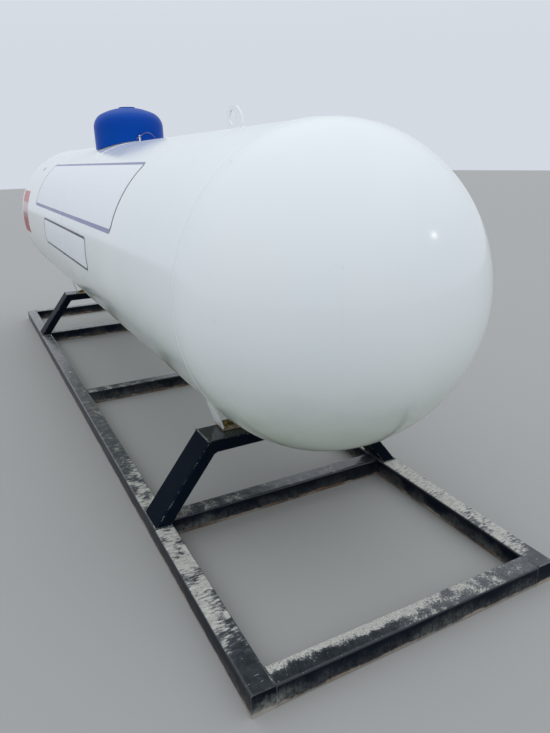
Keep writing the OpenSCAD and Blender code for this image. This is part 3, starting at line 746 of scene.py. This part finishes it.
# %% Weld the girth seams
SEAM_W, SEAM_H, SEAM_STEP = 0.019, 0.0019, 0.003
seam_points = round(2 * math.pi * TANK_R / SEAM_STEP)
for name, x, seed in (("near", SHELL_HALF, 3), ("middle", 0.0, 4), ("far", -SHELL_HALF, 5)):
    path = []
    for i in range(seam_points):
        a = 2 * math.pi * i / seam_points
        out = Vector((0, math.cos(a), math.sin(a)))
        path.append((Vector((x, 0, AXIS_Z)) + out * TANK_R, out))
    bead(f"girth_seam_{name}", path, SEAM_W, SEAM_H, seed=seed, sides=12, ripple=0.10,
         pitch=0.009, flat=True)
print("girth seams at", round(SHELL_HALF, 3), 0, round(-SHELL_HALF, 3))

# %% [markdown]
# ## Fillets on top of the shell
# What stands on the shell has a fillet all round: the lugs, the collar, the valves, the hinge's
# bracket and the staple. Its path is the corner line, found from the radius of the shell, and the
# bead's direction halves the corner.

# %% Weld the lugs, the collar and what is under the cover
def shell_z(y):
    """Height of the top of the shell at y."""
    return AXIS_Z + math.sqrt(TANK_R ** 2 - y * y)


def in_corner(at, out):
    """The path point where a wall that faces out stands on the shell."""
    return Vector((at.x, at.y, shell_z(at.y))), (out.normalized() + UP).normalized()


def ring_on_shell(centre, radius, count):
    """A path round an upright cylinder."""
    turns = [2 * math.pi * i / count for i in range(count)]
    outs = [Vector((math.cos(a), math.sin(a), 0)) for a in turns]
    return [in_corner(centre + out * radius, out) for out in outs]


def round_plate(name, step, fewest, slimness=1):
    """A path round an upright plate. slimness turns the direction off the plate's long faces."""
    low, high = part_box(name)
    middle = Vector(((low.x + high.x) / 2, (low.y + high.y) / 2, 0))
    corner = [(low.x, low.y), (high.x, low.y), (high.x, high.y), (low.x, high.y)]
    path = []
    for i, (x, y) in enumerate(corner):
        nx, ny = corner[(i + 1) % 4]
        steps = max(fewest, round(math.hypot(nx - x, ny - y) / step))
        for k in range(steps):
            at = Vector((x + (nx - x) * k / steps, y + (ny - y) * k / steps, 0))
            path.append(in_corner(at, (at - middle) * Vector((1, slimness, 1))))
    return path


LUG_BEAD, COLLAR_BEAD = (0.013, 0.0065), (0.010, 0.005)
COUPLING_BEAD_W, PLATE_BEAD_W = 0.009, 0.006
for name in ("near", "far"):
    bead(f"lug_weld_{name}", round_plate(f"lifting_lug_{name}", 0.0015, 2, slimness=6), *LUG_BEAD,
         seed=11, ripple=0.2)
collar_low, collar_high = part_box("dome_collar")
COLLAR_R = (collar_high.x - collar_low.x) / 2
bead("collar_weld", ring_on_shell(Vector((DOME_X, 0, 0)), COLLAR_R, 800), *COLLAR_BEAD, seed=14)

COUPLING_R = {"relief_valve": 0.024, "fill_valve": 0.018, "service_valve": 0.018,
              "vapour_valve": 0.018, "level_gauge": 0.016}
paths = []
for name, radius in COUPLING_R.items():
    low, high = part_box(name)
    centre = Vector(((low.x + high.x) / 2, (low.y + high.y) / 2, 0))
    if name == "service_valve":
        centre.x = low.x + (high.y - low.y) / 2
    paths.append((ring_on_shell(centre, radius, 90), COUPLING_BEAD_W))
paths += [(round_plate(name, 0.002, 3), PLATE_BEAD_W) for name in ("hinge_bracket", "seal_staple")]
dome_beads = [bead_mesh(path, width, width / 2, seed=51 + i, sides=6, ripple=0.2)
              for i, (path, width) in enumerate(paths)]
make_piece("dome_welds", *joined(dome_beads), tank_white)
print("fillets:", 3 + len(paths))

# %% [markdown]
# ## Welds under the tank
# A foot is a bent plate: its web leans outward and meets the belly, and its base lies on the
# trestle. The web is welded to the shell on both of its faces. Where they meet is read from the
# corners of the foot's own mesh that lie on the shell.

# %% Weld the feet to the belly
PATH_STEP = 0.002
FOOT_BEAD = (0.010, 0.005)
ON_SHELL = 0.0015


def mirrored(path, x_sign, y_sign):
    """The same path on another corner of the object."""
    flip = Vector((x_sign, y_sign, 1))
    return [(at * flip, up * flip) for at, up in path]


def loop(corner_points, ups):
    """A closed path through corners, with one surface direction for each side."""
    path = []
    for i, start in enumerate(corner_points):
        start, end = Vector(start), Vector(corner_points[(i + 1) % len(corner_points)])
        count = max(3, round((end - start).length / PATH_STEP))
        path += [(start.lerp(end, k / count), Vector(ups[i]).normalized()) for k in range(count)]
    return path


def line(start, end, up):
    """A straight path with one surface direction."""
    start, end = Vector(start), Vector(end)
    count = max(3, round((end - start).length / PATH_STEP))
    return [(start.lerp(end, i / (count - 1)), Vector(up)) for i in range(count)]


foot_low, foot_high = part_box("tank_foot_near_left")
FOOT_X0, FOOT_X1 = foot_low.x, foot_high.x
foot_points = [v.co for v in nodes["tank_foot_near_left"].data.vertices]
FOOT_BASE_Y = min(v.y for v in foot_points if v.z < foot_low.z + 0.002)
FOOT_BASE_D = max(v.y for v in foot_points) - FOOT_BASE_Y
on_belly = [v for v in foot_points if abs(math.hypot(v.y, v.z - AXIS_Z) - TANK_R) < ON_SHELL]
web_out, web_in = min(on_belly, key=lambda v: v.y), max(on_belly, key=lambda v: v.y)
web_weld = loop([(FOOT_X0, web_out.y, web_out.z), (FOOT_X1, web_out.y, web_out.z),
                 (FOOT_X1, web_in.y, web_in.z), (FOOT_X0, web_in.y, web_in.z)],
                [(0, -1, -0.6), (1, 0, -0.6), (0, 1, -1.4), (-1, 0, -0.6)])
for name, x_sign, y_sign in QUARTERS:
    bead(f"foot_weld_{name}", mirrored(web_weld, x_sign, y_sign), *FOOT_BEAD, seed=21)
print("web meets the belly at y", round(web_out.y, 4), "and", round(web_in.y, 4))

# %% [markdown]
# ## Welds of the skid
# Where a square tube is butted against another, the round corner of the tube leaves a groove
# along the top, and the welder fills it. The sides get a plain corner fillet. The trestle legs
# are welded all round on the runners, and round the mitres to the beams. All of one trestle's or
# one tube's beads are joined in a single mesh, so that there are few pieces to handle.

# %% Weld the skid
GROOVE, GROOVE_DEPTH = 0.0035, 0.0022
BUTT_BEAD, TRESTLE_BEAD = (0.010, 0.0042), (0.009, 0.0035)


def join_beads(name, paths, size, seed, closed):
    """Several beads of the skid as one piece. size is their width and height."""
    beads = [bead_mesh(path, *size, closed, seed=seed + i, sides=6, ripple=0.25)
             for i, path in enumerate(paths)]
    make_piece(name, *joined(beads), skid_weld, "skid_black")


for name in ("end_member_near", "end_member_far", "cross_member_near", "cross_member_middle",
             "cross_member_far"):
    low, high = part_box(name)
    paths = []
    for sign in (1, -1):
        y, z = sign * (INNER_Y + GROOVE), TUBE - GROOVE_DEPTH
        paths.append(line((low.x + 0.004, y, z), (high.x - 0.004, y, z), UP))
        for x, out in ((low.x, -1), (high.x, 1)):
            outer_face = abs(x) > SHELL_HALF + 0.5 and out * x > 0
            if not outer_face:
                y = sign * INNER_Y
                paths.append(line((x, y, 0.006), (x, y, TUBE - 0.008), (out, -sign, 0)))
    join_beads(f"{name}_welds", paths, BUTT_BEAD, 31, closed=False)

leg_low, leg_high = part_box("trestle_leg_near_right")
BEAM_T = beam_high.z - beam_low.z
BEAM_OUT_Y = beam_high.y
LEG_OUT_Y = leg_high.y
LEAN = math.atan2(BEAM_TOP - TUBE, LEG_OUT_Y - BEAM_OUT_Y)
LEG_IN_Y = LEG_OUT_Y - BEAM_T / math.sin(LEAN)
MITRE_IN_Y = leg_low.y
x0, x1 = TRESTLE_X - TRESTLE_W / 2, TRESTLE_X + TRESTLE_W / 2
mitre_x0, mitre_x1 = x0 + 0.003, x1 - 0.003
mitre_top, mitre_low = BEAM_TOP - 0.001, BEAM_TOP - BEAM_T + 0.001
foot = loop([(x0, LEG_OUT_Y, TUBE), (x1, LEG_OUT_Y, TUBE), (x1, LEG_IN_Y, TUBE),
             (x0, LEG_IN_Y, TUBE)],
            [(0, 1, 1), (1, 0, 1), (0, -1, 1), (-1, 0, 1)])
mitre = loop([(mitre_x0, BEAM_OUT_Y, mitre_top), (mitre_x1, BEAM_OUT_Y, mitre_top),
              (mitre_x1, MITRE_IN_Y, mitre_low), (mitre_x0, MITRE_IN_Y, mitre_low)],
             [(0, 0.5, 1), (1, 0, 0), (0, -0.5, -1), (-1, 0, 0)])
for end, x_sign in (("near", 1), ("far", -1)):
    paths = [mirrored(path, x_sign, y_sign) for y_sign in (1, -1) for path in (foot, mitre)]
    join_beads(f"trestle_{end}_welds", paths, TRESTLE_BEAD, 41, closed=True)
print("skid welds made, leg lean", round(math.degrees(LEAN), 1), "degrees")

# %% [markdown]
# ## Bolts of the feet
# Each foot is bolted to its trestle with one hexagon bolt and a large square plate washer. The
# plating on both is the yellow kind, now dull and brown at the rim. A bolt head has a chamfered
# top, so its profile is turned first and then the six flats are cut by making the ring at each
# height follow a hexagon.

# %% Bolt the feet
p = Finish("yellow_plated_bolt", metallic=0.7)
patches = p.ramp(p.noise(p.place, 60.0, 6.0, 0.65), 0.4, 0.62)
p.put("Base Color", p.blend(patches, (0.42, 0.31, 0.09), (0.13, 0.075, 0.035)))
p.put("Roughness", p.plus(0.38, p.times(patches, 0.4)))
yellow_zinc = p.material


def turned(rings, sides, half_flat=None, hexagons=()):
    """A mesh turned round Z from (radius, height) rings. The hexagons are the rings with flats."""
    points = []
    for i, (radius, z) in enumerate(rings):
        for k in range(sides):
            a = 2 * math.pi * k / sides
            r = radius
            if i in hexagons:
                r = min(radius, half_flat / math.cos(a % (math.pi / 3) - math.pi / 6))
            points.append(Vector((r * math.cos(a), r * math.sin(a), z)))
    return points, tube_faces(len(rings), sides)


def sharp_smooth(piece, degrees=32):
    """Smooth shading that keeps edges sharper than an angle."""
    with bpy.context.temp_override(object=piece, selected_objects=[piece],
                                   selected_editable_objects=[piece], active_object=piece):
        bpy.ops.object.shade_smooth_by_angle(angle=math.radians(degrees))


HALF_FLAT = 0.012
WASHER_HALF, WASHER_T = 0.021, 0.004
PLATE_TOP = BEAM_TOP + 0.0072
bolt_at = Vector(((FOOT_X0 + FOOT_X1) / 2, FOOT_BASE_Y + FOOT_BASE_D * 0.55, PLATE_TOP))
square = [(-WASHER_HALF, -WASHER_HALF), (WASHER_HALF, -WASHER_HALF), (WASHER_HALF, WASHER_HALF),
          (-WASHER_HALF, WASHER_HALF)]
washer = ([Vector((x, y, z)) for z in (0, WASHER_T) for x, y in square],
          [(3, 2, 1, 0), (4, 5, 6, 7), (0, 1, 5, 4), (1, 2, 6, 5), (2, 3, 7, 6), (3, 0, 4, 7)])
head = turned([(0.0139, WASHER_T), (0.0139, 0.0112), (0.0122, 0.0128), (0.0020, 0.0130)], 36,
              HALF_FLAT, hexagons=(0, 1))
for name, x_sign, y_sign in QUARTERS:
    points, faces = joined([washer, head])
    base = bolt_at * Vector((x_sign, y_sign, 1))
    sharp_smooth(make_piece(f"foot_bolt_{name}", [base + v for v in points], faces, yellow_zinc,
                            "bare_steel"))
print("bolts at", [round(v, 3) for v in bolt_at])

# %% [markdown]
# ## Frames of coloured film
# On the left side of the tank two frames of film remain of its lettering: a wide one high up in
# pale violet, whose long sides are thick and short sides thin, and a small dark one below. The
# places inside them are left bare. Film is cut flat and laid round the shell, so each frame is
# drawn flat, as length along the tank and length round it, and then bent round the radius.

# %% Finish: film
def film_finish(name, colour, faded):
    """Thin coloured film that has faded in patches."""
    p = Finish(name)
    patches = p.ramp(p.noise(p.place, 9.0, 6.0, 0.6), 0.35, 0.7)
    crazed = p.ramp(p.noise(p.place, 170.0, 3.0, 0.7), 0.60, 0.72)
    worn = p.highest(p.times(patches, 0.5), p.times(crazed, 0.5))
    p.put("Base Color", p.blend(worn, colour, faded))
    p.put("Roughness", p.plus(0.28, p.times(worn, 0.3)))
    return p.material


violet_film = film_finish("violet_film", (0.20, 0.215, 0.39), (0.33, 0.35, 0.52))
slate_film = film_finish("slate_film", (0.055, 0.06, 0.10), (0.12, 0.13, 0.18))
navy_film = film_finish("navy_film", (0.010, 0.013, 0.034), (0.035, 0.04, 0.075))
white_film = film_finish("white_film", (0.855, 0.878, 0.918), (0.875, 0.893, 0.925))
grey_film = film_finish("grey_film", (0.42, 0.44, 0.45), (0.52, 0.54, 0.55))
p = Finish("banded_red_film", 0.32)
red_film = p.material
film_z = p.parts(p.place)["Z"]
ragged_z = p.plus(film_z, p.swing(p.noise(p.place, 16.0, 5.0, 0.6), 0.03))
above_dirt = p.ramp(ragged_z, 1.02, 1.04)
dirt = p.times(p.ramp(ragged_z, 0.985, 1.005), p.minus(1.0, above_dirt))
band = p.times(above_dirt, p.minus(1.0, p.ramp(ragged_z, 1.10, 1.12)))
red = p.blend(p.ramp(film_z, 0.96, 1.16), (0.42, 0.030, 0.030), (0.58, 0.17, 0.18))
red = p.blend(p.times(dirt, 0.7), red, (0.34, 0.26, 0.23))
p.put("Base Color", p.blend(p.times(band, 0.85), red, (0.70, 0.58, 0.58)))

# %% Lay the frames on the shell
FILM_LIFT, SHEET_LIFT, SUNK = 0.0005, 0.0003, 0.0003
STATION_STEP = 0.02
NEAR_SEAM = [k * 0.0024 for k in range(-5, 6)]
ARC_PARTS, SIDE_PARTS = 8, 30


def on_left_side(x, round_way, lift=FILM_LIFT):
    """A point on the left of the shell. round_way is the length up from the level of the axis.
    Over the bead of the middle seam the film is lifted."""
    a = round_way / TANK_R
    r = TANK_R + lift + max(0.0, SEAM_H * 1.1 * (1 - (x / (SEAM_W * 0.63)) ** 2))
    return Vector((x, -r * math.cos(a), AXIS_Z + r * math.sin(a)))


def stations(x0, x1, margin):
    """Places along the tank between two ends, closer together over the middle seam."""
    span = x1 - x0 - 2 * margin
    count = max(2, round(span / STATION_STEP))
    evenly = [x0 + margin + span * k / count for k in range(count + 1)]
    if not x0 < 0 < x1:
        return evenly
    return sorted([x for x in evenly if abs(x) > 0.014] + NEAR_SEAM)


def rounded_outline(x0, x1, v0, v1, radius, along):
    """Points round a rectangle with rounded corners, and at each station on its long sides."""
    out = []
    corner_centres = [(x1 - radius, v1 - radius, 0), (x0 + radius, v1 - radius, 90),
                      (x0 + radius, v0 + radius, 180), (x1 - radius, v0 + radius, 270)]
    for i, (cx, cv, start) in enumerate(corner_centres):
        for k in range(ARC_PARTS + 1):
            a = math.radians(start + 90 * k / ARC_PARTS)
            out.append((cx + radius * math.cos(a), cv + radius * math.sin(a)))
        nx, nv, n_start = corner_centres[(i + 1) % 4]
        end_x = nx + radius * math.cos(math.radians(n_start))
        end_v = nv + radius * math.sin(math.radians(n_start))
        last_x, last_v = out[-1]
        if i % 2 == 0:
            out += [(x, last_v) for x in (reversed(along) if end_x < last_x else along)]
        else:
            rise = end_v - last_v
            out += [(last_x, last_v + rise * k / SIDE_PARTS) for k in range(1, SIDE_PARTS)]
    return out


def film_frame(name, x0, x1, low_angle, high_angle, low_w, high_w, short_w, radius, material,
               short_material):
    """A closed frame of film with its own width below, above and at the ends. Angles are in
    degrees above the axis."""
    v0, v1 = math.radians(low_angle) * TANK_R, math.radians(high_angle) * TANK_R
    along = stations(x0, x1, radius + 0.01)
    outer = rounded_outline(x0, x1, v0, v1, radius, along)
    inner = rounded_outline(x0 + short_w, x1 - short_w, v0 + low_w, v1 - high_w,
                            max(0.002, radius - short_w), along)
    count = len(outer)
    points = [on_left_side(x, v, lift) for lift in (FILM_LIFT, -SUNK) for x, v in outer + inner]
    faces = []
    for i in range(count):
        j = (i + 1) % count
        faces.append((i, j, count + j, count + i))
        faces.append((2 * count + i, 2 * count + j, j, i))
        faces.append((count + i, count + j, 3 * count + j, 3 * count + i))
    piece = make_piece(name, points, faces, material)
    piece.data.materials.append(short_material)
    for face in piece.data.polygons:
        if not x0 + radius * 0.4 < face.center.x < x1 - radius * 0.4:
            face.material_index = 1
    sharp_smooth(piece, 60)


UPPER = (-1.141, 1.145, 15.9, 51.6)
LOWER = (-0.677, 0.682, -7.7, 9.8)
film_frame("upper_film_frame", *UPPER, 0.019, 0.014, 0.013, 0.032, violet_film, slate_film)
film_frame("lower_film_frame", *LOWER, 0.011, 0.011, 0.011, 0.034, navy_film, navy_film)
print("film frames laid")

# %% [markdown]
# ## Bare sheets of film
# Inside each frame lies a bare sheet of white film, a trace bluer than the paint. Close to the
# far head there is a red sheet with a pale band, and above it a small grey one. A sheet is a grid
# of columns along the tank: near its ends the columns get shorter, which rounds the corners. A
# rim goes down to the surface all round. Below the frames the paint has one small lump.

# %% Lay the bare sheets
ROWS = 18
CORNER_PARTS = 6


def film_sheet(name, x0, x1, low_angle, high_angle, radius, material, inset=0.0):
    """A bare sheet with rounded corners on the left side, drawn in by inset on every side."""
    v0 = math.radians(low_angle) * TANK_R + inset
    v1 = math.radians(high_angle) * TANK_R - inset
    x0, x1 = x0 + inset, x1 - inset
    quarter = [radius * (1 - math.cos(math.pi / 2 * k / CORNER_PARTS)) for k in range(CORNER_PARTS)]
    columns = [x0 + d for d in quarter] + stations(x0, x1, radius)
    columns += [x1 - d for d in reversed(quarter)]
    points, faces = [], []
    for x in columns:
        into = max(0.0, radius - min(x - x0, x1 - x))
        cut = radius - math.sqrt(max(0.0, radius ** 2 - into ** 2))
        for k in range(ROWS + 1):
            points.append(on_left_side(x, v0 + cut + (v1 - v0 - 2 * cut) * k / ROWS, SHEET_LIFT))
    tall = ROWS + 1
    for i in range(len(columns) - 1):
        for k in range(ROWS):
            a = i * tall + k
            faces.append((a, a + tall, a + tall + 1, a + 1))
    last = (len(columns) - 1) * tall
    rim = [i * tall for i in range(len(columns))] + [last + k for k in range(1, tall)]
    rim += [i * tall + ROWS for i in reversed(range(len(columns) - 1))]
    rim += list(reversed(range(1, ROWS)))
    start = len(points)
    for i in rim:
        out = points[i] - Vector((points[i].x, 0, AXIS_Z))
        points.append(points[i] - out.normalized() * (SHEET_LIFT + SUNK))
    for i, a in enumerate(rim):
        j = (i + 1) % len(rim)
        faces.append((rim[j], a, start + i, start + j))
    sharp_smooth(make_piece(name, points, faces, material), 60)


film_sheet("upper_film_sheet", *UPPER, 0.026, white_film, inset=0.004)
film_sheet("lower_film_sheet", *LOWER, 0.024, white_film, inset=0.003)
film_sheet("red_film_sheet", -1.925, -1.600, -10.5, 25.0, 0.018, red_film)
film_sheet("small_grey_sheet", -1.560, -1.480, 45.0, 48.6, 0.004, grey_film)

NUB_X, NUB_ANGLE = 0.453, math.radians(-14)
nub, nub_faces = turned([(0.0060, -0.0003), (0.0058, 0.0010), (0.0048, 0.0022), (0.0030, 0.0030),
                         (0.0010, 0.0033)], 20)
out = Vector((0, -math.cos(NUB_ANGLE), math.sin(NUB_ANGLE)))
tilt = UP.rotation_difference(out).to_matrix()
nub_at = Vector((NUB_X, 0, AXIS_Z)) + out * TANK_R
make_piece("paint_nub", [nub_at + tilt @ v for v in nub], nub_faces, tank_white)
print("sheets laid")

# %% [markdown]
# ## The seal wire
# A strand of seal wire hangs in the staple in front of the cover, as it was left when the seal
# was last cut. It is a thin tube along a curve: a short end sticks out of the hole to the left,
# and the long end rises in a bow round the side of the cover and comes down on the shell.

# %% Bend the seal wire
WIRE_R, BOW_HEIGHT, BOW_PARTS = 0.0012, 0.030, 21
ABOVE_SHELL, HOLE_BELOW_TOP = 0.003, 0.008
staple_low, staple_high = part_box("seal_staple")
hole = Vector(((staple_low.x + staple_high.x) / 2, 0, staple_high.z - HOLE_BELOW_TOP))
route = [hole + Vector(v) for v in ((0.012, -0.016, -0.012), (0.009, -0.008, -0.004),
                                    (0.004, -0.001, -0.0005), (-0.005, 0.001, 0.0))]
for k in range(1, BOW_PARTS + 1):
    t = k / BOW_PARTS
    a = math.radians(1 + 37 * t)
    r = LID_R + 0.0095 - 0.002 * t
    bow = BOW_HEIGHT * math.sin(math.pi * min(1.0, t * 1.1)) * (1 - 0.35 * t)
    y = r * math.sin(a)
    ground = shell_z(y) + ABOVE_SHELL
    z = hole.z + (ground - hole.z) * t ** 2.2 + bow
    route.append(Vector((DOME_X + r * math.cos(a), y, max(z, ground))))
curve = bpy.data.curves.new("seal_wire", "CURVE")
curve.dimensions = "3D"
curve.bevel_depth = WIRE_R
curve.bevel_resolution = 3
curve.resolution_u = 3
curve.use_fill_caps = True
spline = curve.splines.new("NURBS")
spline.points.add(len(route) - 1)
for point, at in zip(spline.points, route):
    point.co = (*at, 1)
spline.use_endpoint_u = True
spline.order_u = 3
curve.materials.append(copper_wire)
wire = in_scene("seal_wire", curve)
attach(wire, "tank")
print("seal wire has", len(route), "points")

# %% [markdown]
# ## Light and floor
# The photograph has the even light of a bright overcast sky, with a small hard glint from the
# sun behind thin cloud. An overcast sky is brightest overhead, so the world's colour is mixed by
# how steeply a ray points up. A small panel stands where the glint on the near head says the sun
# was: that direction is the view line mirrored in the head. The floor is plain.

# %% Floor, world and lamp
FLOOR_COLOUR = (0.40, 0.395, 0.385, 1)
FLOOR_HALF = 40
floor_mesh = bpy.data.meshes.new("floor")
floor_mesh.from_pydata([(-FLOOR_HALF, -FLOOR_HALF, 0), (FLOOR_HALF, -FLOOR_HALF, 0),
                        (FLOOR_HALF, FLOOR_HALF, 0), (-FLOOR_HALF, FLOOR_HALF, 0)], [],
                       [(0, 1, 2, 3)])
floor = in_scene("floor", floor_mesh)
floor_finish = Finish("studio_floor", 0.85)
floor_finish.put("Base Color", FLOOR_COLOUR)
floor_mesh.materials.append(floor_finish.material)

world = bpy.data.worlds.new("overcast")
bpy.context.scene.world = world
world.use_nodes = True
sky = Wires(world.node_tree)
steep = sky.ramp(sky.parts(sky.coordinates["Generated"])["Z"], 0.12, 0.8)
background = world.node_tree.nodes["Background"].inputs
sky.feed(background["Color"], sky.blend(steep, (0.66, 0.70, 0.765), (1.0, 1.05, 1.10)))
background["Strength"].default_value = 1.0

GLINT_AT = Vector((2.392, 0.036, 1.191))
SUN_WAY = Vector((0.498, 0.753, 0.431))
SUN_DISTANCE = 12
sun = bpy.data.lights.new("thin_sun", "AREA")
sun.shape = "SQUARE"
sun.size = 0.24
sun.energy = 14
sun.color = (1.0, 0.98, 0.95)
lamp = in_scene("thin_sun", sun)
lamp.location = GLINT_AT + SUN_WAY * SUN_DISTANCE
lamp.rotation_euler = (-SUN_WAY).to_track_quat("-Z", "Y").to_euler()
bpy.context.scene.view_settings.view_transform = "Standard"
print("floor, world and lamp placed")
